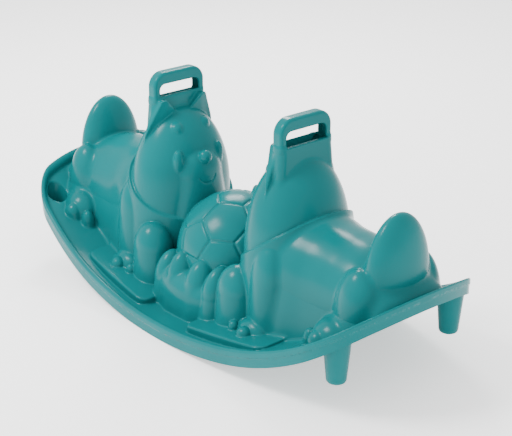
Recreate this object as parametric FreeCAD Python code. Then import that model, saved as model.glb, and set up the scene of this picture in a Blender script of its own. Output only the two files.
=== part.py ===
"""Two-seat rocking seesaw for toddlers: two dogs face each other across a football.

The object is one open-bottomed plastic shell on a curved rocking rim. It is cut here along its
moulded creases, one solid per moulded feature. Units are millimetres. +X is the long axis, -Y is the
near side, +Z is up, and the origin is the point of the rocking edge that touches level ground.
"""

import FreeCAD
import Part

import math
import os

from FreeCAD import Matrix, Vector

# ---- driving dimensions -------------------------------------------------------------------------
WALL = 3.0

# plan outline of the rim
LENGTH = 1030.0
WIDTH = 450.0
END_WIDTH = 360.0
END_BULGE = 39.0
CORNER_R = 54.0

# rocking edge: a flatter arc in the middle and a tighter one towards each end
ROCK_R_MIDDLE = 1050.0
ROCK_R_END = 650.0
ROCK_CHANGE_X = 200.0

# rim and deck, as heights above the rocking edge
RIM_HEIGHT = 33.6
RIM_WIDTH = 13.0
DECK_TOP = 21.6
STEP_HEIGHT = 20.0
STEP_INSET = 1.4

# tapered stop feet
STOP_X, STOP_Y, STOP_Z = 445.0, 144.0, 60.0
STOP_R_TIP, STOP_R_TOP = 18.0, 26.0

# handle
SLOT_HALF, SLOT_LOW, SLOT_HIGH = 49.0, 401.0, 430.0
SLOT_CUT_X = (140.0, 260.0)
POST_IN, POST_OUT = 178.0, 208.0
POST_HALF, POST_LOW, POST_TOP, POST_CORNER_R = 64.0, 120.0, 403.0, 14.0
POST_DRAFT, POST_FACE_SHARE = 0.085, 0.35
GRIP_IN, GRIP_OUT = 179.0, 204.0
GRIP_HALF, GRIP_TOP, GRIP_CORNER_R = 63.0, 454.0, 30.0

# round-topped forms: x, y, half length, half width, shoulder height, top height, draft
BALL = (0.0, 0.0, 121.0, 121.0, 118.0, 239.0, 0.03)
MUZZLE = (127.0, 0.0, 38.0, 56.0, 246.0, 303.0, 0.10)
HEAD = (182.0, 0.0, 84.0, 112.0, 200.0, 378.0, 0.03)
CHEST = (184.0, 0.0, 92.0, 119.0, 200.0, 386.0, 0.03)
TAIL = (442.0, 0.0, 37.0, 73.0, 214.0, 337.0, 0.06)
HAUNCH = (424.0, 74.0, 46.0, 38.0, 160.0, 244.0, 0.40)
FRONT_LEG = (214.0, 92.0, 42.0, 38.0, 150.0, 232.0, 0.04)
CHEST_LOBE = (136.0, 109.0, 43.0, 39.0, 108.0, 162.0, 0.06)
FRONT_PAW = [
    (204.0, 128.0, 40.0, 24.0, 48.0, 80.0, 0.10),
    (205.0, 152.0, 15.0, 15.0, 58.0, 73.0, 0.10),
    (167.0, 146.0, 10.0, 10.0, 57.0, 69.0, 0.10),
]
HIND_PAW = [
    (400.0, 108.0, 44.0, 38.0, 112.0, 152.0, 0.06),
    (390.0, 138.0, 20.0, 18.0, 112.0, 134.0, 0.08),
    (356.0, 124.0, 14.0, 14.0, 98.0, 122.0, 0.08),
]
TUFT_FORMS = [
    (0.0, 112.0, 104.0, 50.0, 56.0, 110.0, 0.08),
    (-68.0, 112.0, 30.0, 40.0, 66.0, 126.0, 0.12),
    (-24.0, 114.0, 30.0, 40.0, 81.0, 141.0, 0.12),
    (34.0, 114.0, 32.0, 40.0, 79.0, 139.0, 0.12),
    (80.0, 108.0, 28.0, 40.0, 78.0, 138.0, 0.12),
]

# the collar line climbs from the chin to the nape: x and height at three places
COLLAR = [(88.0, 160.0), (180.0, 209.5), (278.0, 290.0)]

# small round forms of the face: x, y, z and radius or half sizes
NOSE = (99.0, 0.0, 289.0, 14.0)
BROW = (149.0, 33.0, 342.0, 14.0)
EYE = (121.0, 50.0, 282.0, 9.0, 12.0, 24.0)

# ears: pointed plates whose front leans back into the head
EAR_TIP = (158.0, 52.0, 404.0)
EAR_INNER_SLOPE, EAR_OUTER_SLOPE, EAR_LEAN = 0.98, 0.44, 0.28
EAR_FRONT, EAR_BACK, EAR_FOOT = 148.0, 190.0, 290.0
EAR_FLAT_TOP, EAR_BLUNT = 402.0, 0.5
EAR_HOLLOW_R, EAR_HOLLOW_LEAN = 27.0, 0.25
EAR_HOLLOW_AT = (134.0, 58.0)

# seat and back: x, half width, shoulder height, top height
SADDLE = [
    (206.0, 108.0, 160.0, 276.0),
    (260.0, 106.0, 158.0, 272.0),
    (300.0, 100.0, 150.0, 266.0),
    (350.0, 98.0, 150.0, 263.0),
    (400.0, 98.0, 154.0, 258.0),
    (440.0, 96.0, 158.0, 244.0),
    (470.0, 92.0, 160.0, 216.0),
    (500.0, 84.0, 162.0, 186.0),
]
SADDLE_DRAFT, SADDLE_POWER, SADDLE_STEPS = 0.17, 2.2, 12
SADDLE_TO_RIM = 5.0

# footrests
FOOTREST_X = (66.0, 282.0)
FOOTREST_Z = (37.0, 69.0)
FOOTREST_INNER, FOOTREST_OUTER, FOOTREST_TO_RIM, FOOTREST_BEVEL = 96.0, 200.0, 19.0, 22.0

# how far cutting shapes run past the object: above, below and past its outline
SKY = 700.0
UNDER = -60.0
OVERRUN = 20.0

# cuts leave crumbs along the creases: solids up to this volume in mm3 are dropped
CRUMB = 60.0


# ---- small helpers ------------------------------------------------------------------------------
def wire(*edges):
    return Part.Wire([e.toShape() if hasattr(e, "toShape") else e for e in edges])


def line(a, b):
    return Part.LineSegment(Vector(*a), Vector(*b))


def arc(a, middle, b):
    return Part.Arc(Vector(*a), Vector(*middle), Vector(*b))


def polygon(points):
    return Part.Face(Part.makePolygon([Vector(*p) for p in points] + [Vector(*points[0])]))


def stretch(shape, about, sx, sy):
    """Scale a shape along X and Y about a point."""
    move = Matrix()
    move.move(Vector(-about[0], -about[1], 0))
    grow = Matrix()
    grow.scale(Vector(sx, sy, 1))
    back = Matrix()
    back.move(Vector(about[0], about[1], 0))
    return shape.transformGeometry(back.multiply(grow).multiply(move))


def half_turn(shape):
    turned = shape.copy()
    turned.rotate(Vector(0, 0, 0), Vector(0, 0, 1), 180)
    return turned


# ---- rocking profile and plan outline -----------------------------------------------------------
def rock_centre():
    """Centre of the right end arc, tangent to the middle arc."""
    lean = math.asin(ROCK_CHANGE_X / ROCK_R_MIDDLE)
    drop = ROCK_R_MIDDLE - ROCK_R_END
    return drop * math.sin(lean), ROCK_R_MIDDLE - drop * math.cos(lean)


def rock_z(x):
    """Height of the rocking edge above the ground at x."""
    x = abs(x)
    if x <= ROCK_CHANGE_X:
        return ROCK_R_MIDDLE - math.sqrt(ROCK_R_MIDDLE**2 - x**2)
    cx, cz = rock_centre()
    return cz - math.sqrt(ROCK_R_END**2 - (x - cx) ** 2)


def rock_curve(rise):
    """The rocking edge as three tangent arcs, moved up by rise, from -X to +X."""
    reach = LENGTH / 2 + OVERRUN

    def at(x):
        return (x, 0, rock_z(x) + rise)

    def half(x):
        return (x + ROCK_CHANGE_X) / 2

    return [
        arc(at(-reach), at(-half(reach)), at(-ROCK_CHANGE_X)),
        arc(at(-ROCK_CHANGE_X), at(0), at(ROCK_CHANGE_X)),
        arc(at(ROCK_CHANGE_X), at(half(reach)), at(reach)),
    ]


def band(low, high):
    """Everything between two heights above the rocking edge; high may be None for no lid."""
    reach = LENGTH / 2 + OVERRUN
    z_low = rock_z(reach) + low
    z_high = SKY if high is None else rock_z(reach) + high
    if high is None:
        lid = [line((reach, 0, SKY), (-reach, 0, SKY))]
    else:
        lid = rock_curve(high)
    sides = [
        line((reach, 0, z_low), (reach, 0, z_high)),
        line((-reach, 0, z_low), (-reach, 0, z_high)),
    ]
    edges = Part.__sortEdges__([e.toShape() for e in rock_curve(low) + sides + lid])
    face = Part.Face(Part.Wire(edges))
    face.translate(Vector(0, -WIDTH, 0))
    return face.extrude(Vector(0, 2 * WIDTH, 0))


def sagitta_radius(half_chord, rise):
    return (half_chord**2 + rise**2) / (2 * rise)


def corner_centre(side_r, side_y, end_r, end_x):
    """Centre of the corner arc that touches the side arc and the end arc from inside."""
    from_side, from_end = side_r - CORNER_R, end_r - CORNER_R
    gap = math.hypot(end_x, side_y)
    along = (from_side**2 - from_end**2 + gap**2) / (2 * gap)
    off = math.sqrt(from_side**2 - along**2)
    ux, uy = end_x / gap, -side_y / gap
    return ux * along + uy * off, side_y + uy * along - ux * off


def plan_wire(inset):
    """Plan outline: two long shallow arcs, two bulged ends and four round corners, all tangent."""
    side_r = sagitta_radius(LENGTH / 2, (WIDTH - END_WIDTH) / 2)
    end_r = sagitta_radius(END_WIDTH / 2, END_BULGE)
    side_y, end_x = WIDTH / 2 - side_r, LENGTH / 2 - end_r
    cx, cy = corner_centre(side_r, side_y, end_r, end_x)
    r = CORNER_R - inset
    to_side, to_end = math.atan2(cy - side_y, cx), math.atan2(cy, cx - end_x)
    halfway = (to_side + to_end) / 2

    def on_corner(angle, sx, sy):
        return (sx * (cx + r * math.cos(angle)), sy * (cy + r * math.sin(angle)), 0)

    edges = []
    for sx in (1, -1):
        tip = (sx * (LENGTH / 2 - inset), 0, 0)
        edges.append(arc(on_corner(to_end, sx, -1), tip, on_corner(to_end, sx, 1)))
        for sy in (1, -1):
            edges.append(arc(*[on_corner(angle, sx, sy) for angle in (to_end, halfway, to_side)]))
    for sy in (1, -1):
        waist = (0, sy * (WIDTH / 2 - inset), 0)
        edges.append(arc(on_corner(to_side, -1, sy), waist, on_corner(to_side, 1, sy)))
    return Part.Wire(Part.__sortEdges__([e.toShape() for e in edges]))


def plan(inset):
    face = Part.Face(plan_wire(inset))
    face.translate(Vector(0, 0, UNDER))
    return face.extrude(Vector(0, 0, SKY - UNDER))


# ---- shell forms: each gives its outer solid, or its cavity when thin is the wall ----------------
def dome(sizes, side=1, thin=0.0):
    """Upright oval form: a drafted skirt to the shoulder, then an elliptical cap."""
    x, y, rx, ry, shoulder, top, flare = sizes
    y = y * side
    r, cap = rx - thin, top - thin - shoulder
    foot = UNDER if thin else 0.0
    spread = flare * (shoulder - foot)
    shoulder_at = (x + r, y, shoulder)
    crown = (x, y, shoulder + cap)
    if abs(r - cap) < 0.1:
        half = math.sqrt(0.5)
        curve = arc(shoulder_at, (x + r * half, y, shoulder + cap * half), crown)
    else:
        long_axis, short_axis = (shoulder_at, crown) if r > cap else (crown, shoulder_at)
        ellipse = Part.Ellipse(Vector(*long_axis), Vector(*short_axis), Vector(x, y, shoulder))
        curve = Part.ArcOfEllipse(ellipse, 0, math.pi / 2)
    outline = Part.__sortEdges__(
        [
            line((x, y, foot), (x + r + spread, y, foot)).toShape(),
            line((x + r + spread, y, foot), shoulder_at).toShape(),
            curve.toShape(),
            line(crown, (x, y, foot)).toShape(),
        ]
    )
    solid = Part.Face(Part.Wire(outline)).revolve(Vector(x, y, 0), Vector(0, 0, 1), 360)
    return solid if rx == ry else stretch(solid, (x, y), 1, (ry - thin) / r)


def knob(sizes, side=1, thin=0.0):
    x, y, z, r = sizes
    return Part.makeSphere(r - thin, Vector(x, y * side, z))


def egg(sizes, side=1, thin=0.0):
    """Ellipsoid."""
    x, y, z, rx, ry, rz = sizes
    r = 100.0
    grow = Matrix()
    grow.scale(Vector((rx - thin) / r, (ry - thin) / r, (rz - thin) / r))
    solid = Part.makeSphere(r).transformGeometry(grow)
    solid.translate(Vector(x, y * side, z))
    return solid


def chest(thin=0.0):
    """Chest and neck: an oval column that ends at the climbing collar line."""
    low, middle, high = [(x, 0, z - thin) for x, z in COLLAR]
    reach = CHEST[0] + 200.0
    face = Part.Face(
        wire(
            arc(low, middle, high),
            line(high, (reach, 0, high[2])),
            line((reach, 0, high[2]), (reach, 0, UNDER)),
            line((reach, 0, UNDER), (0, 0, UNDER)),
            line((0, 0, UNDER), (0, 0, low[2])),
            line((0, 0, low[2]), low),
        )
    )
    face.translate(Vector(0, -WIDTH, 0))
    return dome(CHEST, 1, thin).common(face.extrude(Vector(0, 2 * WIDTH, 0)))


def saddle_section(x, half, shoulder, top, foot):
    """Section across the seat: drafted sides and a full round top."""
    half_foot = half + SADDLE_DRAFT * (shoulder - foot)
    crown = []
    for i in range(SADDLE_STEPS + 1):
        turn = math.pi * i / SADDLE_STEPS
        across, up = -math.cos(turn), math.sin(turn)
        across = math.copysign(abs(across) ** (2 / SADDLE_POWER), across)
        up = max(up, 0.0) ** (2 / SADDLE_POWER)
        crown.append(Vector(x, half * across, shoulder + (top - shoulder) * up))
    curve = Part.BSplineCurve()
    curve.interpolate(crown)
    start, end = (x, -half, shoulder), (x, half, shoulder)
    return wire(
        line((x, -half_foot, foot), start),
        curve,
        line(end, (x, half_foot, foot)),
        line((x, half_foot, foot), (x, -half_foot, foot)),
    )


def saddle(thin=0.0):
    """Back, seat and rump of the dog, lofted between round-topped sections."""
    foot = UNDER if thin else 0.0
    sections = []
    for x, half, shoulder, top in SADDLE:
        shift = thin if x == SADDLE[0][0] else 0.0
        sections.append(saddle_section(x + shift, half - thin, shoulder, top - thin, foot))
    solid = Part.makeLoft(sections, True, False)
    return solid.common(plan(RIM_WIDTH + SADDLE_TO_RIM + thin))


def rounded_box(x0, x1, half, low, high, radius, draft, thin=0.0):
    """Drafted upright block with round corners, wider at its foot."""
    wires = []
    for z, grow in ((low, draft * (high - low)), (high, 0.0)):
        gx, gy = grow * POST_FACE_SHARE - thin, half + grow - thin
        a, b = x0 - gx, x1 + gx
        r = radius - thin
        k = r * (1 - math.sqrt(0.5))
        edges = []
        turns = [(b, gy, 1, 1), (a, gy, -1, 1), (a, -gy, -1, -1), (b, -gy, 1, -1)]
        starts = []
        for cx, cy, sx, sy in turns:
            along_y = (cx, cy - sy * r, z)
            along_x = (cx - sx * r, cy, z)
            order = (along_y, along_x) if sx * sy > 0 else (along_x, along_y)
            starts.append(order)
            edges.append(arc(order[0], (cx - sx * k, cy - sy * k, z), order[1]))
        for i in range(4):
            edges.append(line(starts[i][1], starts[(i + 1) % 4][0]))
        wires.append(Part.Wire(Part.__sortEdges__([e.toShape() for e in edges])))
    return Part.makeLoft(wires, True, True)


def post(thin=0.0):
    sizes = (POST_IN, POST_OUT, POST_HALF, POST_LOW, POST_TOP, POST_CORNER_R, POST_DRAFT)
    return rounded_box(*sizes, thin)


def arch(thin=0.0):
    """Grip block over the post, with large round top corners."""
    half, high = GRIP_HALF - thin, GRIP_TOP - thin
    low = POST_TOP - OVERRUN / 2 if thin else POST_TOP
    radius = GRIP_CORNER_R - thin
    k = radius * (1 - math.sqrt(0.5))
    x0, x1 = GRIP_IN + thin, GRIP_OUT - thin
    face = Part.Face(
        wire(
            line((x0, -half, low), (x0, -half, high - radius)),
            arc((x0, -half, high - radius), (x0, k - half, high - k), (x0, radius - half, high)),
            line((x0, radius - half, high), (x0, half - radius, high)),
            arc((x0, half - radius, high), (x0, half - k, high - k), (x0, half, high - radius)),
            line((x0, half, high - radius), (x0, half, low)),
            line((x0, half, low), (x0, -half, low)),
        )
    )
    return face.extrude(Vector(x1 - x0, 0, 0))


def finger_slot():
    x0, x1 = SLOT_CUT_X
    corner = Vector(x0, -SLOT_HALF, SLOT_LOW)
    return Part.makeBox(x1 - x0, 2 * SLOT_HALF, SLOT_HIGH - SLOT_LOW, corner)


def ear(side, thin=0.0):
    """Pointed ear against the face side of the handle post, hollowed along its front."""
    x, y, z = EAR_TIP
    in_shift = thin * math.hypot(1, EAR_INNER_SLOPE)
    out_shift = thin * math.hypot(1, EAR_OUTER_SLOPE)
    point = z - (in_shift + out_shift) / (EAR_INNER_SLOPE + EAR_OUTER_SLOPE)
    top = min(point, EAR_FLAT_TOP - thin) - EAR_BLUNT

    def inner(height):
        return (0, side * (y - EAR_INNER_SLOPE * (z - height) + in_shift), height)

    def outer(height):
        return (0, side * (y + EAR_OUTER_SLOPE * (z - height) - out_shift), height)

    lowest = z - y / EAR_INNER_SLOPE + in_shift / EAR_INNER_SLOPE
    middle = [(0, 0, EAR_FOOT), inner(lowest)]
    outline = polygon([*middle, inner(top), outer(top), outer(EAR_FOOT)])
    outline.translate(Vector(EAR_FRONT, 0, 0))
    plate = outline.extrude(Vector(EAR_BACK - EAR_FRONT, 0, 0))
    front = x + thin * math.hypot(1, EAR_LEAN)
    slip = (EAR_BACK - front) / EAR_LEAN
    wedge = polygon([(front, 0, z), (EAR_BACK, 0, z), (EAR_BACK, 0, z - slip)])
    wedge.translate(Vector(0, -WIDTH, 0))
    body = plate.common(wedge.extrude(Vector(0, 2 * WIDTH, 0)))
    way = Vector(EAR_LEAN, side * EAR_HOLLOW_LEAN, -1)
    start = Vector(EAR_HOLLOW_AT[0], side * EAR_HOLLOW_AT[1], z) - way * OVERRUN
    depth = (z - EAR_FOOT + 2 * OVERRUN) * way.Length
    scoop = Part.makeCylinder(EAR_HOLLOW_R + thin, depth, start, way)
    return body.cut(scoop)


def tuft(side, thin=0.0):
    """Leafy tuft against the ball: four rounded blades on one base."""
    forms = [dome(sizes, 1, thin) for sizes in TUFT_FORMS]
    solid = forms[0].multiFuse(forms[1:])
    return solid if side > 0 else half_turn(solid)


def paw(pads, side, thin=0.0):
    """Foot pad with its toes."""
    forms = [dome(sizes, side, thin) for sizes in pads]
    return forms[0].multiFuse(forms[1:])


def footrest(side, thin=0.0):
    """Raised plate between the body and the rim, flatter than the deck."""
    x0, x1 = FOOTREST_X[0] + thin, FOOTREST_X[1] - thin
    z0, z1 = FOOTREST_Z[0] - thin, FOOTREST_Z[1] - thin
    side_view = polygon([(x0, 0, UNDER), (x1, 0, UNDER), (x1, 0, z1), (x0, 0, z0)])
    side_view.translate(Vector(0, -WIDTH, 0))
    slab = side_view.extrude(Vector(0, 2 * WIDTH, 0))
    inner, outer, bevel = FOOTREST_INNER, FOOTREST_OUTER, FOOTREST_BEVEL
    footprint = polygon(
        [
            (x0, side * inner, UNDER),
            (x1, side * inner, UNDER),
            (x1, side * (outer - 2 * bevel), UNDER),
            (x1 - bevel, side * (outer - bevel / 2), UNDER),
            (x1 - bevel, side * outer, UNDER),
            (x0 + bevel, side * outer, UNDER),
            (x0, side * (outer - bevel), UNDER),
        ]
    )
    plate = slab.common(footprint.extrude(Vector(0, 0, SKY)))
    return plate.common(plan(RIM_WIDTH + FOOTREST_TO_RIM + thin))


def stop_foot(x, y, thin=0.0):
    """Tapered stop that keeps the rocker from tipping over its end."""
    rise = rock_z(STOP_X) + DECK_TOP + OVERRUN - STOP_Z
    grow = (STOP_R_TOP - STOP_R_TIP) / (rock_z(STOP_X) - STOP_Z)
    tip_r = STOP_R_TIP - thin + grow * thin
    tall = rise - thin
    return Part.makeCone(tip_r, tip_r + grow * tall, tall, Vector(x, y, STOP_Z + thin))


# ---- the right dog, from what covers to what is covered ------------------------------------------
def pair(make, sizes, thin):
    """A form on each side of the face, as one group."""
    return Part.makeCompound([make(sizes, side, thin) for side in (-1, 1)])


def dog_forms(thin=0.0):
    """Every form of one dog as {name: solid}, highest first; with thin, their cavities."""
    sides = (("near", -1), ("far", 1))
    forms = {}
    forms["nose"] = knob(NOSE, 1, thin)
    forms["eyes"] = pair(egg, EYE, thin)
    forms["brows"] = pair(knob, BROW, thin)
    forms["muzzle"] = dome(MUZZLE, 1, thin)
    for name, side in sides:
        forms[name + "_ear"] = ear(side, thin)
    forms["head"] = dome(HEAD, 1, thin)
    forms["chest"] = chest(thin)
    forms["handle_grip"] = arch(thin)
    forms["handle_post"] = post(thin)
    forms["tail"] = dome(TAIL, 1, thin)
    for name, side in sides:
        forms[name + "_hind_paw"] = paw(HIND_PAW, side, thin)
        forms[name + "_haunch"] = dome(HAUNCH, side, thin)
        forms[name + "_front_leg"] = dome(FRONT_LEG, side, thin)
        forms[name + "_chest_lobe"] = dome(CHEST_LOBE, side, thin)
    forms["saddle"] = saddle(thin)
    for name, side in sides:
        forms[name + "_front_paw"] = paw(FRONT_PAW, side, thin)
        forms[name + "_footrest"] = footrest(side, thin)
    return forms


# ---- assembly of the shell ----------------------------------------------------------------------
def near_boxes(a, b):
    return a.BoundBox.intersect(b.BoundBox)


def cut_all(shape, tools):
    for tool in tools:
        if shape.Volume > 0 and near_boxes(shape, tool):
            shape = shape.cut(tool)
    return shape


def tidy(shape):
    """Drop crumbs and give one solid, or a compound of the solids that the node groups."""
    solids = [s for s in shape.Solids if s.Volume > CRUMB]
    return solids[0] if len(solids) == 1 else Part.makeCompound(solids)


def swap_side(name):
    swap = {"near": "far", "far": "near"}
    first, _, rest = name.partition("_")
    return f"{swap[first]}_{rest}" if first in swap else name


def standing(forms, cavities):
    """Cut forms along their creases: each gives way to those before it and to every cavity."""
    ground = band(DECK_TOP - WALL, None)
    pieces, above = {}, []
    for name, shape in forms.items():
        pieces[name] = tidy(cut_all(shape.common(ground), above + cavities))
        above.append(shape)
    return pieces


def build():
    forms = {"ball": dome(BALL), **dog_forms()}
    forms["near_tuft"] = tuft(-1)
    forms["far_tuft"] = tuft(1)
    dog_cavities = list(dog_forms(WALL).values())
    shared_cavities = [dome(BALL, 1, WALL), tuft(-1, WALL), tuft(1, WALL)]
    pieces = standing(forms, dog_cavities + shared_cavities + [finger_slot()])

    shared = ("ball", "near_tuft", "far_tuft")
    dog = {name: half_turn(shape) for name, shape in forms.items() if name not in shared}
    other_dog = list(dog.values())
    turned = [half_turn(c) for c in dog_cavities]
    nodes = {}
    for name, piece in pieces.items():
        if name in shared:
            nodes[name] = tidy(cut_all(piece, turned if name == "ball" else other_dog + turned))
        else:
            nodes["right_" + name] = piece
            nodes["left_" + swap_side(name)] = half_turn(piece)

    deck = plan(RIM_WIDTH - WALL).common(band(DECK_TOP - WALL, DECK_TOP))
    deck = cut_all(deck, list(forms.values()) + other_dog)
    under = band(-STOP_Z * 3, DECK_TOP - WALL)
    for end, sx in (("left", -1), ("right", 1)):
        for side, sy in (("near", -1), ("far", 1)):
            x, y = sx * STOP_X, sy * STOP_Y
            cup = stop_foot(x, y, WALL)
            nodes[f"{end}_{side}_stop_foot"] = stop_foot(x, y).common(under).cut(cup)
            deck = deck.cut(cup)
    nodes["deck"] = max(deck.Solids, key=lambda solid: solid.Volume)
    nodes.update(rim(nodes["deck"]))
    return nodes


def rim(deck):
    """Channel round the deck: a bead that stands over the deck, and the skirt that it rocks on."""
    bead = plan(0).cut(plan(RIM_WIDTH)).common(band(STEP_HEIGHT, RIM_HEIGHT))
    channel = plan(WALL).cut(plan(RIM_WIDTH - WALL)).common(band(-OVERRUN, RIM_HEIGHT - WALL))
    bead = bead.cut(channel)
    under_deck = plan(RIM_WIDTH - WALL).common(band(-OVERRUN, DECK_TOP - WALL))
    skirt = plan(STEP_INSET).cut(plan(STEP_INSET + WALL)).common(band(0, STEP_HEIGHT))
    return {"rim_bead": tidy(bead.cut(under_deck).cut(deck)), "rocker_skirt": tidy(skirt)}


def main():
    os.makedirs("parts", exist_ok=True)
    for name, shape in build().items():
        solids = len(shape.Solids)
        print(f"{name}: {solids} solid(s), {shape.Volume / 1000:.1f} cm3, valid {shape.isValid()}")
        shape.exportStep(f"parts/{name}.step")


main()
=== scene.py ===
"""Looks of the two-seat dog rocker: the one-piece moulded shell, meshed node by node.

The shell is described by distance functions in millimetres. Each moulded form is a distance; their
blended union is the skin, and the shell is what lies within one wall thickness under it. Every CAD
node gets the stretch of that shell which its own form claims, so neighbours meet edge to edge.
"""

import math

import bpy
import numpy as np
import openvdb
from mathutils import Matrix, Vector


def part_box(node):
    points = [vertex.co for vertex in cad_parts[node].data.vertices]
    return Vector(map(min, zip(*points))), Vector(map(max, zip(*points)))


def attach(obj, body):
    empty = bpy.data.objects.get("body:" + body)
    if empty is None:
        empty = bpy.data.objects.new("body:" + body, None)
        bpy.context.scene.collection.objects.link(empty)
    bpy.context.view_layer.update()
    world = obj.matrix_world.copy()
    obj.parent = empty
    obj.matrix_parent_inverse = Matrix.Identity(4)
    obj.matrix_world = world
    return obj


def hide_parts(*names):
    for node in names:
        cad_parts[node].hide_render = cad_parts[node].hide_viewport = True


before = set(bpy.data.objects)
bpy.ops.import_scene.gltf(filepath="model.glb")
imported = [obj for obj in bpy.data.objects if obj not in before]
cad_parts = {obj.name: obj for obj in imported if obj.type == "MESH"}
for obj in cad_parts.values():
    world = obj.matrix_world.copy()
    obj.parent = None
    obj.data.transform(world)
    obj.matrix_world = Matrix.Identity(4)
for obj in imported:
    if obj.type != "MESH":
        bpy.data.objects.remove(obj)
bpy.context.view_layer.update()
MM = 0.001

# plan outline, rocking edge, rim and deck (heights are above the rocking edge), stop feet
WALL = 3.0
LENGTH, WIDTH, END_WIDTH = 1030.0, 450.0, 360.0
END_BULGE, CORNER_R = 39.0, 54.0
ROCK_R_MIDDLE, ROCK_R_END, ROCK_CHANGE_X = 1050.0, 650.0, 200.0
RIM_HEIGHT, RIM_WIDTH, DECK_TOP = 33.6, 13.0, 21.6
STEP_HEIGHT, STEP_INSET = 20.0, 1.4
STOP_X, STOP_Y, STOP_Z = 445.0, 144.0, 60.0
STOP_R_TIP, STOP_TAPER = 18.0, 0.09
STOPS = [
    (f"{end}_{side}_stop_foot", sx, sy)
    for end, sx in (("left", -1), ("right", 1))
    for side, sy in (("near", -1), ("far", 1))
]

# how far the foot cups keep from the outline: under the deck, and how much more at its top
CUP_CLEAR, CUP_CLEAR_MORE, CUP_CLEAR_FROM = 7.5, 9.0, 4.0

# how far neighbours run over their shared crease, and how far the mesh keeps inside the CAD outline
OVERLAP = 0.4
TRIM = 0.1

# ball: radius, height of its middle, draft of the skirt, and its panels' turn and seams
BALL_R, BALL_Z, BALL_DRAFT = 121.0, 118.0, 0.03
BALL_TURN_ANGLE, BALL_TURN_AXIS = 2.2444, (-0.9449, 1.9546, 0.5691)
SEAM_DEPTH, SEAM_HALF = 2.6, 3.0

# upright oval forms of the right dog: x, y, half length, half width, shoulder height, top, draft
HEAD = (182.0, 0.0, 84.0, 112.0, 200.0, 378.0, 0.03)
CHEST = (184.0, 0.0, 92.0, 119.0, 200.0, 386.0, 0.03)
MUZZLE = (127.0, 0.0, 38.0, 56.0, 246.0, 303.0, 0.10)
TAIL = (442.0, 0.0, 37.0, 73.0, 214.0, 337.0, 0.06)
HAUNCH = (424.0, 74.0, 46.0, 38.0, 160.0, 244.0, 0.40)
FRONT_LEG = (214.0, 92.0, 42.0, 38.0, 150.0, 232.0, 0.04)
CHEST_LOBE = (136.0, 109.0, 43.0, 39.0, 108.0, 162.0, 0.06)
FRONT_PAW = (
    (204.0, 128.0, 40.0, 24.0, 48.0, 80.0, 0.10),
    (205.0, 152.0, 15.0, 15.0, 58.0, 73.0, 0.10),
    (167.0, 146.0, 10.0, 10.0, 57.0, 69.0, 0.10),
)
HIND_PAW = (
    (400.0, 108.0, 44.0, 38.0, 112.0, 152.0, 0.06),
    (390.0, 138.0, 20.0, 18.0, 112.0, 134.0, 0.08),
    (356.0, 124.0, 14.0, 14.0, 98.0, 122.0, 0.08),
)
TUFT_BASE = (0.0, 112.0, 104.0, 50.0, 56.0, 110.0, 0.08)
TUFT_LEAVES = (
    (-68.0, 112.0, 30.0, 40.0, 66.0, 126.0, 0.12),
    (-24.0, 114.0, 30.0, 40.0, 81.0, 141.0, 0.12),
    (34.0, 114.0, 32.0, 40.0, 79.0, 139.0, 0.12),
    (80.0, 108.0, 28.0, 40.0, 78.0, 138.0, 0.12),
)

# egg-shaped forms of the face: x, y, z and the three half sizes
NOSE = (99.0, 0.0, 289.0, 14.0, 14.0, 14.0)
BROW = (149.0, 33.0, 342.0, 14.0, 14.0, 14.0)
EYE = (121.0, 50.0, 282.0, 9.0, 12.0, 24.0)

# seat and back: x, half width, shoulder height, top height
SADDLE = np.array(
    [
        (206.0, 108.0, 160.0, 276.0),
        (260.0, 106.0, 158.0, 272.0),
        (300.0, 100.0, 150.0, 266.0),
        (350.0, 98.0, 150.0, 263.0),
        (400.0, 98.0, 154.0, 258.0),
        (440.0, 96.0, 158.0, 244.0),
        (470.0, 92.0, 160.0, 216.0),
        (500.0, 84.0, 162.0, 186.0),
    ]
)
SADDLE_DRAFT, SADDLE_POWER, SADDLE_TO_RIM = 0.17, 2.2, 5.0

# collar line: where it starts, how steeply it climbs and how much steeper it gets
COLLAR_X, COLLAR_Z, COLLAR_CLIMB, COLLAR_CURVE = 95.0, 163.0, 0.42, 0.0015

# footrests
FOOTREST_X, FOOTREST_Z = (66.0, 282.0), (37.0, 69.0)
FOOTREST_INNER, FOOTREST_TO_RIM = 96.0, 19.0

# handle
POST_X, POST_HALF, POST_TOP, POST_CORNER_R = (178.0, 208.0), 64.0, 403.0, 14.0
POST_DRAFT, POST_FACE_SHARE, POST_FOOT = 0.085, 0.35, 150.0
GRIP_X, GRIP_HALF, GRIP_TOP, GRIP_CORNER_R = (179.0, 204.0), 63.0, 454.0, 30.0
SLOT_X, SLOT_HALF, SLOT_Z, SLOT_CORNER_R = (150.0, 230.0), 49.0, (401.0, 430.0), 13.0
SLOT_SILL, SLOT_SILL_X = 5.0, 192.0

# smile line: its centre height, radius, depth and half width
SMILE_Z, SMILE_R, SMILE_DEPTH, SMILE_HALF = 256.3, 21.3, 1.8, 2.0

# ears: where the slopes of a side meet, how fast they part below it, and the lean of the front
EAR_TIP = (158.0, 52.0, 409.0)
EAR_INNER_SLOPE, EAR_OUTER_SLOPE, EAR_LEAN, EAR_WIDEST = 0.98, 0.44, 0.28, 90.0
EAR_BACK, EAR_TOP, EAR_FOOT = 190.0, 402.0, 285.0
EAR_HOLLOW_AT, EAR_HOLLOW_R, EAR_HOLLOW_SPREAD = (134.0, 58.0), 27.0, 0.25


# ---- distance helpers: arrays in, arrays out ----------------------------------------------------
def smooth_min(a, b, k):
    h = np.maximum(k - np.abs(a - b), 0.0) / k
    return np.minimum(a, b) - h * h * k * 0.25


def smooth_max(a, b, k):
    return -smooth_min(-a, -b, k)


def length(*parts):
    return np.sqrt(sum(p * p for p in parts))


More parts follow.
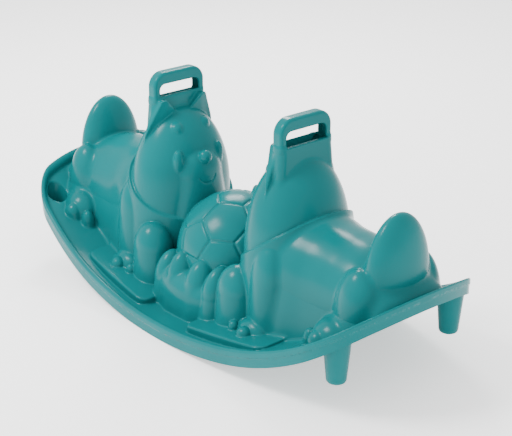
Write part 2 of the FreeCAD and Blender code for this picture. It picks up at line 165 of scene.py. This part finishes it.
def rock_z(x):
    """Height of the rocking edge above level ground."""
    lean = math.asin(ROCK_CHANGE_X / ROCK_R_MIDDLE)
    drop = ROCK_R_MIDDLE - ROCK_R_END
    cx, cz = drop * math.sin(lean), ROCK_R_MIDDLE - drop * math.cos(lean)
    ax = np.abs(x)
    middle = ROCK_R_MIDDLE - np.sqrt(ROCK_R_MIDDLE**2 - np.minimum(ax, ROCK_CHANGE_X) ** 2)
    end = cz - np.sqrt(ROCK_R_END**2 - np.clip(ax - cx, 0, ROCK_R_END * 0.95) ** 2)
    return np.where(ax <= ROCK_CHANGE_X, middle, end)


def plan_distance(x, y):
    """Distance to the plan outline, negative inside."""
    side_r = ((LENGTH / 2) ** 2 + ((WIDTH - END_WIDTH) / 2) ** 2) / (WIDTH - END_WIDTH)
    end_r = ((END_WIDTH / 2) ** 2 + END_BULGE**2) / (2 * END_BULGE)
    s = length(x, np.abs(y) - (WIDTH / 2 - side_r)) - side_r + CORNER_R
    e = length(np.abs(x) - (LENGTH / 2 - end_r), y) - end_r + CORNER_R
    outside = length(np.maximum(s, 0), np.maximum(e, 0))
    return np.minimum(np.maximum(s, e), 0) + outside - CORNER_R + TRIM


def height_over_rock(x, z):
    """Distance above the rocking edge, measured square to it near enough for walls."""
    return z - rock_z(x)


def dome(sizes, x, y, z, side=1, fullness=2.0):
    """Upright oval form with a drafted skirt below its shoulder and a round cap above."""
    at_x, at_y, half_x, half_y, shoulder, top, draft = sizes
    below = np.maximum(shoulder - z, 0.0)
    grow = 1 + draft * below / half_x
    a, b, c = half_x * grow, half_y * grow, top - shoulder
    u, v = (x - at_x) / a, (y - side * at_y) / b
    w = np.maximum(z - shoulder, 0.0) / c + 1e-6
    rho = length(u, v) + 1e-6
    n = fullness
    q = (rho**n + w**n) ** (1 / n)
    tilt = rho ** (n - 2)
    steep = length(tilt * u / a, tilt * v / b, w ** (n - 1) / c) * q ** (1 - n)
    return (q - 1) / np.maximum(steep, 1e-3)


def egg(sizes, x, y, z):
    at_x, at_y, at_z, a, b, c = sizes
    u, v, w = (x - at_x) / a, (y - at_y) / b, (z - at_z) / c
    q = length(u, v, w) + 1e-6
    return q * (q - 1) / (length(u / a, v / b, w / c) + 1e-6)


def plate(x, y, lows, highs, radius):
    """Rounded rectangle in two directions."""
    qx = np.maximum(lows[0] - x, x - highs[0]) + radius
    qy = np.maximum(lows[1] - y, y - highs[1]) + radius
    return np.minimum(np.maximum(qx, qy), 0) + length(np.maximum(qx, 0), np.maximum(qy, 0)) - radius


# ---- forms of the right dog (x is away from the ball, side is -1 near and +1 far) -----------------
def smooth_table(x, xs, values):
    """Smooth curve through a few values (cubic, flat tangents from neighbours)."""
    slopes = np.gradient(values, xs)
    t = np.clip(x, xs[0], xs[-1])
    i = np.clip(np.searchsorted(xs, t) - 1, 0, len(xs) - 2)
    h = xs[i + 1] - xs[i]
    s = (t - xs[i]) / h
    s2, s3 = s * s, s * s * s
    return (
        (2 * s3 - 3 * s2 + 1) * values[i]
        + (s3 - 2 * s2 + s) * h * slopes[i]
        + (3 * s2 - 2 * s3) * values[i + 1]
        + (s3 - s2) * h * slopes[i + 1]
    )


def saddle(x, y, z):
    stations, halves, shoulders, tops = SADDLE.T
    top = smooth_table(x, stations, tops)
    shoulder = smooth_table(x, stations, shoulders)
    half = smooth_table(x, stations, halves) + SADDLE_DRAFT * np.maximum(shoulder - z, 0.0)
    c = top - shoulder
    v, w = np.abs(y) / half + 1e-6, np.maximum(z - shoulder, 0.0) / c + 1e-6
    n = SADDLE_POWER
    q = (v**n + w**n) ** (1 / n)
    steep = length(v ** (n - 1) / half, w ** (n - 1) / c) * q ** (1 - n)
    d = (q - 1) / np.maximum(steep, 1e-3)
    ends = np.maximum(stations[0] - x, plan_distance(x, y) + RIM_WIDTH + SADDLE_TO_RIM)
    return smooth_max(d, ends, 14.0)


def chest(x, y, z):
    """Chest and neck below the collar line, which climbs from the chin to the nape."""
    rise = x - COLLAR_X
    collar = COLLAR_Z + COLLAR_CLIMB * rise + COLLAR_CURVE * rise * np.abs(rise)
    return smooth_max(dome(CHEST, x, y, z), (z - collar) * 0.85, 3.0)


def muzzle(x, y, z):
    smile = np.abs(length(y, z - SMILE_Z) - SMILE_R)
    groove = SMILE_DEPTH * np.exp(-((smile / SMILE_HALF) ** 2))
    return dome(MUZZLE, x, y, z) + np.where((z < 250) & (x < 110), groove, 0.0)


def post(x, y, z):
    grow = POST_DRAFT * np.maximum(POST_TOP - z, 0)
    lows = POST_X[0] - POST_FACE_SHARE * grow, -POST_HALF - grow
    highs = POST_X[1] + POST_FACE_SHARE * grow, POST_HALF + grow
    d = plate(x, y, lows, highs, POST_CORNER_R)
    return smooth_max(smooth_max(d, z - POST_TOP, 4.0), POST_FOOT - z, 4.0)


def grip(x, y, z):
    d = plate(y, z, (-GRIP_HALF, POST_FOOT), (GRIP_HALF, GRIP_TOP), GRIP_CORNER_R)
    d = smooth_max(d, np.maximum(GRIP_X[0] - x, x - GRIP_X[1]), 7.0)
    return smooth_max(d, POST_TOP - 10 - z, 2.0)


def finger_slot(x, y, z):
    """Hole for the fingers; its sill stands a little higher on the face side."""
    d = plate(y, z, (-SLOT_HALF, POST_FOOT), (SLOT_HALF, SLOT_Z[1]), SLOT_CORNER_R)
    low = np.where(x > SLOT_SILL_X, SLOT_Z[0], SLOT_Z[0] + SLOT_SILL)
    return np.maximum(np.maximum(d, low - z), np.maximum(SLOT_X[0] - x, x - SLOT_X[1]))


def ear(x, y, z, side):
    """Pointed ear standing against the post: flat back, hollowed front, sharp inner edge."""
    tip_x, tip_y, tip_z = EAR_TIP
    v, drop = y * side, tip_z - z
    outer = (v - tip_y - EAR_OUTER_SLOPE * drop) / math.hypot(1, EAR_OUTER_SLOPE)
    inner = (tip_y - EAR_INNER_SLOPE * drop - v) / math.hypot(1, EAR_INNER_SLOPE)
    outer = smooth_max(outer, v - EAR_WIDEST, 12.0)
    front = tip_x + EAR_LEAN * drop - x
    across = (v - EAR_HOLLOW_AT[1] - EAR_HOLLOW_SPREAD * drop) * 0.9
    hollow = length(across, x - EAR_HOLLOW_AT[0] - EAR_LEAN * drop) - EAR_HOLLOW_R
    body = smooth_max(smooth_max(outer, inner, 14.0), z - EAR_TOP, 6.0)
    body = smooth_max(body, smooth_max(front, x - EAR_BACK, 4.0), 5.0)
    return smooth_max(smooth_max(body, -hollow, 5.0), EAR_FOOT - z, 4.0)


def paw(pads, x, y, z, side):
    forms = [dome(pad, x, y, z, side) for pad in pads]
    d = forms[0]
    for toe in forms[1:]:
        d = smooth_min(d, toe, 2.5)
    return d


def footrest(x, y, z, side):
    """Raised plate between the body and the rim, flatter than the deck."""
    (x0, x1), (z0, z1) = FOOTREST_X, FOOTREST_Z
    top = z0 + (x - x0) * (z1 - z0) / (x1 - x0)
    d = smooth_max(plan_distance(x, y) + RIM_WIDTH + FOOTREST_TO_RIM, FOOTREST_INNER - y * side, 8.0)
    d = smooth_max(d, np.maximum(x0 - x, x - x1), 26.0)
    return smooth_max(d, z - top, 5.0)


def tuft(x, y, z, side):
    """Leafy clump against the ball: four rounded blades on one base."""
    along, out = -side * x, side * y
    d = dome(TUFT_BASE, along, out, z, fullness=2.4)
    for blade in TUFT_LEAVES:
        d = smooth_min(d, dome(blade, along, out, z, fullness=1.9), 4.0)
    return d


def football():
    """Plane normals and distances of a truncated icosahedron's 32 faces."""
    g = (1 + math.sqrt(5)) / 2
    corners, faces = [], []
    for a in (-1, 1):
        for b in (-g, g):
            corners += [(0, a, b), (a, b, 0), (b, 0, a)]
    corners = np.array(corners) / math.sqrt(1 + g * g)
    for i in range(12):
        for j in range(i):
            for k in range(j):
                trio = corners[[i, j, k]]
                if all(np.linalg.norm(trio[m] - trio[m - 1]) < 1.1 for m in range(3)):
                    faces.append(trio.sum(0) / np.linalg.norm(trio.sum(0)))
    faces = np.array(faces)
    neighbour = corners[np.argsort(corners @ corners[0])[-2]]
    pentagon = (corners[0] * 2 / 3 + neighbour / 3) @ corners[0]
    hexagon = (faces @ corners.T).max()
    distances = np.r_[np.full(len(corners), pentagon), np.full(len(faces), hexagon)]
    return np.vstack([corners, faces]), distances


PANELS, PANEL_DISTANCE = football()
BALL_TURN = np.array(Matrix.Rotation(BALL_TURN_ANGLE, 3, Vector(BALL_TURN_AXIS).normalized()))


def ball(x, y, z):
    """Half ball with seamed panels on a plain drafted skirt."""
    r = length(x, y, z - BALL_Z) + 1e-6
    skirt = length(x, y) - BALL_R - BALL_DRAFT * (BALL_Z - z)
    d = np.where(z > BALL_Z, r - BALL_R, skirt)
    near = (np.abs(d) < 14) & (z > BALL_Z - 60)
    groove = np.zeros_like(d)
    if near.any():
        way = np.stack([x[near], y[near], z[near] - BALL_Z], -1) / r[near][:, None]
        reach = (way @ BALL_TURN) @ (PANELS / PANEL_DISTANCE[:, None]).T
        top = np.partition(reach, -2, axis=1)[:, -2:]
        off = (top[:, 1] - top[:, 0]) * BALL_R / 0.75
        groove[near] = SEAM_DEPTH * np.exp(-((off / SEAM_HALF) ** 2))
    return d + groove


def forms_of_dog():
    """Every form of the right dog, {name: (distance, blend radius)}."""
    out = {
        "nose": (lambda x, y, z: egg(NOSE, x, y, z), 3.0),
        "eyes": (lambda x, y, z: egg(EYE, x, np.abs(y), z), 1.5),
        "brows": (lambda x, y, z: egg(BROW, x, np.abs(y), z), 7.0),
        "muzzle": (muzzle, 2.5),
        "near_ear": (lambda x, y, z: ear(x, y, z, -1), 6.0),
        "far_ear": (lambda x, y, z: ear(x, y, z, 1), 6.0),
        "head": (lambda x, y, z: dome(HEAD, x, y, z), 4.0),
        "chest": (chest, 2.0),
        "handle_grip": (grip, 3.0),
        "handle_post": (post, 5.0),
        "tail": (lambda x, y, z: dome(TAIL, x, y, z), 6.0),
    }
    for name, s in (("near", -1), ("far", 1)):
        out[name + "_hind_paw"] = (lambda x, y, z, s=s: paw(HIND_PAW, x, y, z, s), 4.0)
        out[name + "_haunch"] = (lambda x, y, z, s=s: dome(HAUNCH, x, y, z, s), 8.0)
        out[name + "_front_leg"] = (lambda x, y, z, s=s: dome(FRONT_LEG, x, y, z, s), 2.0)
        out[name + "_chest_lobe"] = (lambda x, y, z, s=s: dome(CHEST_LOBE, x, y, z, s), 3.0)
        out[name + "_front_paw"] = (lambda x, y, z, s=s: paw(FRONT_PAW, x, y, z, s), 3.0)
        out[name + "_footrest"] = (lambda x, y, z, s=s: footrest(x, y, z, s), 3.0)
    out["saddle"] = (saddle, 8.0)
    return out


def deck_skin(x, y, z):
    return smooth_max(plan_distance(x, y) + STEP_INSET, height_over_rock(x, z) - DECK_TOP, 1.0)


def bead_skin(x, y, z):
    p, t = plan_distance(x, y), height_over_rock(x, z)
    d = smooth_max(np.maximum(p, -p - RIM_WIDTH), t - RIM_HEIGHT, 7.0)
    return np.maximum(d, STEP_HEIGHT - t)


def cone(x, y, z, thin):
    r = STOP_R_TIP - thin + STOP_TAPER * (z - STOP_Z)
    d = length(np.abs(x) - STOP_X, np.abs(y) - STOP_Y) - r
    return smooth_max(d, STOP_Z + thin - z, 4.0)


FORMS = {}
for part, (distance, blend) in forms_of_dog().items():
    FORMS["right_" + part] = (distance, blend)
    first, _, rest = part.partition("_")
    swapped = {"near": "far_" + rest, "far": "near_" + rest}.get(first, part)
    FORMS["left_" + swapped] = (lambda x, y, z, d=distance: d(-x, -y, z), blend)
FORMS["ball"] = (ball, 3.0)
FORMS["near_tuft"] = (lambda x, y, z: tuft(x, y, z, -1), 3.0)
FORMS["far_tuft"] = (lambda x, y, z: tuft(x, y, z, 1), 3.0)


def claims(names, x, y, z):
    """Each form's own distance, {name: array}; the least one owns the place."""
    out = {n: FORMS[n][0](x, y, z) for n in names}
    p, t = plan_distance(x, y), height_over_rock(x, z)
    out["deck"] = np.maximum(p + RIM_WIDTH - 5, np.abs(t - DECK_TOP + WALL / 2) - WALL / 2)
    low = 2 * np.maximum(14.0 - t, 0)
    out["rim_bead"] = np.maximum(np.maximum(p, -p - RIM_WIDTH), t - RIM_HEIGHT) + low
    out["rocker_skirt"] = np.maximum(p, -p - 8.0) + np.clip(t - STEP_HEIGHT + 2, -4, 30)
    cup = cone(x, y, z, 0.0)
    under = np.maximum(cup - 8.0, t - DECK_TOP + WALL) + 3 * np.maximum(p + 5.0, 0)
    for name, sx, sy in STOPS:
        here = (x * sx > 0) & (y * sy > 0)
        out[name] = np.where(here, under, np.inf)
    return out


def skin(names, owned, x, y, z):
    """Distance to the outer skin: the blended forms on the deck, less finger slots and foot cups."""
    d = smooth_min(deck_skin(x, y, z), bead_skin(x, y, z), 2.0)
    for n in names:
        d = smooth_min(d, owned[n], FORMS[n][1])
    d = smooth_max(d, -finger_slot(x, y, z), 2.0)
    d = smooth_max(d, -finger_slot(-x, -y, z), 2.0)
    rise = (height_over_rock(x, z) - CUP_CLEAR_FROM) / (DECK_TOP - WALL - 0.6 - CUP_CLEAR_FROM)
    clear = CUP_CLEAR + CUP_CLEAR_MORE * np.clip(rise, 0, 1)
    cup = smooth_max(cone(x, y, z, WALL), plan_distance(x, y) + clear, 3.0)
    return smooth_max(d, -cup, 3.0)


def parting(name, owned, x, y, z):
    """Negative where the named form owns the skin; the rocking edge and finger slots cut it too."""
    t = height_over_rock(x, z)
    sunk = 3 * np.maximum(DECK_TOP - WALL - t, 0)
    claim = {n: v + sunk if n in FORMS else v for n, v in owned.items()}
    others = np.minimum.reduce([v for n, v in claim.items() if n != name])
    d = (claim[name] - others) * 0.5 - OVERLAP
    if not name.endswith("stop_foot"):
        d = np.maximum(d, TRIM - t)
    if "handle" in name:
        turn = 1 if name.startswith("right") else -1
        d = np.maximum(d, -finger_slot(x * turn, y * turn, z))
    return d


# ---- meshing ------------------------------------------------------------------------------------
BLOCK = 4


def neighbours(lo, hi):
    """Forms that come near a box."""
    axes = [np.linspace(lo[i], hi[i], 14) for i in range(3)]
    x, y, z = np.meshgrid(*axes, indexing="ij")
    return [n for n, (d, _) in FORMS.items() if d(x, y, z).min() < 30.0]


def both_fields(name, names, p):
    """Skin distance and parting distance at points."""
    x, y, z = p.T
    owned = claims(names, x, y, z)
    return np.stack([skin(names, owned, x, y, z), parting(name, owned, x, y, z)])


def with_slopes(name, names, p, e=0.3):
    """Both fields and their gradients at points."""
    here = both_fields(name, names, p)
    slopes = np.empty((2, len(p), 3))
    for i in range(3):
        step = np.zeros(3)
        step[i] = e
        change = both_fields(name, names, p + step) - both_fields(name, names, p - step)
        slopes[:, :, i] = change / (2 * e)
    size = np.maximum(np.sqrt((slopes**2).sum(-1)), 0.2)
    return here / size, slopes / size[..., None]


def sample(name, names, lo, hi, step):
    """Narrow-band grid of the piece: coarse blocks first, then every cell near the surface."""
    stride = BLOCK * step
    counts = np.ceil((hi - lo) / stride).astype(int)
    centres = [lo[i] + (np.arange(counts[i]) + 0.5) * stride - step / 2 for i in range(3)]
    cx, cy, cz = np.meshgrid(*centres, indexing="ij")
    middles = np.stack([cx.ravel(), cy.ravel(), cz.ravel()], -1)
    coarse = both_fields(name, names, middles).max(0).reshape(counts)
    live = np.abs(coarse) < stride * 1.35
    field = np.where(coarse > 0, 1.0, -1.0) * 3 * step
    for axis in range(3):
        field = np.repeat(field, BLOCK, axis)
    blocks = np.argwhere(live)
    inner = np.stack(np.meshgrid(*[np.arange(BLOCK)] * 3, indexing="ij"), -1).reshape(-1, 3)
    cells = (blocks[:, None, :] * BLOCK + inner[None]).reshape(-1, 3)
    field[tuple(cells.T)] = both_fields(name, names, lo + cells * step).max(0)
    return field


def to_surface(name, names, points, step):
    """Settle points on the skin, on the parting, or on the line where they meet."""
    for _ in range(3):
        (g, c), (gn, cn) = with_slopes(name, names, points)
        corner = (np.abs(g) < 0.8 * step) & (np.abs(c) < 0.8 * step)
        move = np.where((np.abs(g) < np.abs(c))[:, None], -gn * g[:, None], -cn * c[:, None])
        dot = np.clip((gn * cn).sum(1), -0.9, 0.9)
        a, b = (dot * c - g) / (1 - dot**2), (dot * g - c) / (1 - dot**2)
        both = gn * a[:, None] + cn * b[:, None]
        move = np.where(corner[:, None], both, move)
        size = np.sqrt((move**2).sum(1))
        points = points + move * np.minimum(1, step / np.maximum(size, 1e-9))[:, None]
    return points


def mesh_node(name, step):
    """The stretch of shell that a node owns, as one closed mesh with exact normals."""
    low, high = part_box(name)
    lo, hi = np.array(low) / MM - 26, np.array(high) / MM + 26
    names = neighbours(lo, hi)
    volume = openvdb.FloatGrid(3 * step)
    field = sample(name, names, lo, hi, step)
    volume.copyFromArray(np.clip(field, -3 * step, 3 * step).astype(np.float32))
    volume.transform = openvdb.createLinearTransform(voxelSize=step)
    points, quads = volume.convertToQuads(isovalue=0.0)
    quads = quads.astype(int)
    points = to_surface(name, names, points.astype(float) + lo, step)
    centres = points[quads].mean(1)
    (g, c), _ = with_slopes(name, names, centres)
    quads = quads[(np.abs(g) < np.abs(c)) & (np.abs(g) < step)]
    used, quads = np.unique(quads, return_inverse=True)
    quads = quads.reshape(-1, 4)
    points = points[used]
    _, (normals, _) = with_slopes(name, names, points)
    n = len(points)
    edges = np.concatenate([quads[:, [i, (i + 1) % 4]] for i in range(4)])
    keys = np.sort(edges, 1)
    _, first, counts = np.unique(keys, axis=0, return_index=True, return_counts=True)
    rim = edges[first[counts == 1]]
    walls = np.stack([rim[:, 1], rim[:, 0], rim[:, 0] + n, rim[:, 1] + n], -1)
    faces = np.concatenate([quads, quads[:, ::-1] + n, walls])
    everything = np.concatenate([points, points - normals * WALL])
    smooth = np.concatenate([normals, -normals])[faces]
    return everything, faces, smooth, len(quads) * 2


def turned_name(name):
    """The node that a half turn about the vertical brings onto this one."""
    swap = {"left": "right", "right": "left", "near": "far", "far": "near"}
    return "_".join(swap.get(word, word) for word in name.split("_"))


def make_piece(name, points, faces, smooth, first_wall):
    mesh = bpy.data.meshes.new(name + "_skin")
    mesh.from_pydata((points * MM).tolist(), [], faces.tolist())
    flat = np.empty(len(mesh.polygons) * 3, np.float32)
    mesh.polygons.foreach_get("normal", flat)
    smooth = smooth.copy()
    smooth[first_wall:] = flat.reshape(-1, 3)[first_wall:, None]
    mesh.shade_smooth()
    mesh.normals_split_custom_set(smooth.reshape(-1, 3).tolist())
    piece = bpy.data.objects.new(name + "_moulded", mesh)
    bpy.context.scene.collection.objects.link(piece)
    return piece


# ---- material -----------------------------------------------------------------------------------
def teal_plastic():
    material = bpy.data.materials.new("teal_plastic")
    material.use_nodes = True
    nodes, links = material.node_tree.nodes, material.node_tree.links
    shader = nodes["Principled BSDF"]
    place = nodes.new("ShaderNodeTexCoord")
    fine = nodes.new("ShaderNodeTexNoise")
    fine.inputs["Scale"].default_value = 900.0
    fine.inputs["Detail"].default_value = 3.0
    broad = nodes.new("ShaderNodeTexNoise")
    broad.inputs["Scale"].default_value = 9.0
    broad.inputs["Detail"].default_value = 2.0
    links.new(place.outputs["Object"], fine.inputs["Vector"])
    links.new(place.outputs["Object"], broad.inputs["Vector"])
    tone = nodes.new("ShaderNodeValToRGB")
    tone.color_ramp.interpolation = "EASE"
    tone.color_ramp.elements[0].position = 0.25
    tone.color_ramp.elements[0].color = (0.0, 0.122, 0.128, 1)
    tone.color_ramp.elements[1].position = 0.75
    tone.color_ramp.elements[1].color = (0.0, 0.136, 0.143, 1)
    links.new(broad.outputs["Fac"], tone.inputs["Fac"])
    links.new(tone.outputs["Color"], shader.inputs["Base Color"])
    rough = nodes.new("ShaderNodeMapRange")
    rough.inputs["To Min"].default_value = 0.20
    rough.inputs["To Max"].default_value = 0.26
    shader.inputs["Specular IOR Level"].default_value = 0.11
    links.new(broad.outputs["Fac"], rough.inputs["Value"])
    links.new(rough.outputs["Result"], shader.inputs["Roughness"])
    bump = nodes.new("ShaderNodeBump")
    bump.inputs["Strength"].default_value = 0.06
    bump.inputs["Distance"].default_value = 0.0004
    links.new(fine.outputs["Fac"], bump.inputs["Height"])
    links.new(bump.outputs["Normal"], shader.inputs["Normal"])
    return material


# ---- build --------------------------------------------------------------------------------------
def step_for(name):
    small = ("nose", "eyes", "brows", "paw", "grip", "muzzle", "ear")
    base = 1.6 if name.endswith(small) else 2.4
    return base * 1.0


def build_pieces(material):
    made = {}
    for name in sorted(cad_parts, reverse=True):
        twin = made.get(turned_name(name)) if turned_name(name) != name else None
        if twin:
            points, faces, smooth, first_wall = twin
            turn = np.array([-1.0, -1.0, 1.0])
            shape = points * turn, faces, smooth * turn, first_wall
        else:
            shape = mesh_node(name, step_for(name))
        made[name] = shape
        piece = make_piece(name, *shape)
        piece.data.materials.append(material)
        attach(piece, "root")
        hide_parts(name)


def build_stage():
    bpy.ops.mesh.primitive_plane_add(size=14, location=(0, 0, 0))
    floor = bpy.context.object
    floor.name = "studio_floor"
    material = bpy.data.materials.new("studio_white")
    material.use_nodes = True
    shader = material.node_tree.nodes["Principled BSDF"]
    shader.inputs["Base Color"].default_value = (0.97, 0.97, 0.97, 1)
    shader.inputs["Roughness"].default_value = 0.9
    shader.inputs["Emission Color"].default_value = (1, 1, 1, 1)
    shader.inputs["Emission Strength"].default_value = 0.8
    floor.data.materials.append(material)


def area_light(name, place, aim, size, power):
    data = bpy.data.lights.new(name, "AREA")
    data.shape = "RECTANGLE"
    data.size, data.size_y = size
    data.energy = power
    lamp = bpy.data.objects.new(name, data)
    bpy.context.scene.collection.objects.link(lamp)
    lamp.location = place
    lamp.rotation_euler = (Vector(aim) - Vector(place)).to_track_quat("-Z", "Y").to_euler()


def build_light():
    world = bpy.data.worlds.new("studio")
    bpy.context.scene.world = world
    world.use_nodes = True
    world.node_tree.nodes["Background"].inputs["Color"].default_value = (1, 1, 1, 1)
    world.node_tree.nodes["Background"].inputs["Strength"].default_value = 1.5
    area_light("key", (-0.9, -1.6, 2.4), (0, 0, 0.15), (0.9, 0.9), 95)
    area_light("back", (-1.6, 1.2, 1.9), (0, 0, 0.2), (0.8, 0.8), 50)


# camera: degrees, millimetres for the target, metres for the distance
CAMERA_AZIMUTH, CAMERA_ELEVATION = 49.71, 22.82
CAMERA_TARGET, CAMERA_DISTANCE = (1.54, 49.7, 172.54), 2.628
LENS, SENSOR_WIDTH = 91.0, 36.0


def build_camera():
    azimuth, elevation = math.radians(CAMERA_AZIMUTH), math.radians(CAMERA_ELEVATION)
    target = Vector(CAMERA_TARGET) * MM
    level = math.cos(elevation)
    back = Vector((math.sin(azimuth) * level, -math.cos(azimuth) * level, math.sin(elevation)))
    data = bpy.data.cameras.new("camera")
    data.sensor_width = SENSOR_WIDTH
    data.lens = LENS
    camera = bpy.data.objects.new("camera", data)
    bpy.context.scene.collection.objects.link(camera)
    camera.location = target + back * CAMERA_DISTANCE
    camera.rotation_euler = (-back).to_track_quat("-Z", "Y").to_euler()
    data.clip_end = 50
    bpy.context.scene.camera = camera


build_pieces(teal_plastic())
build_stage()
build_light()
build_camera()
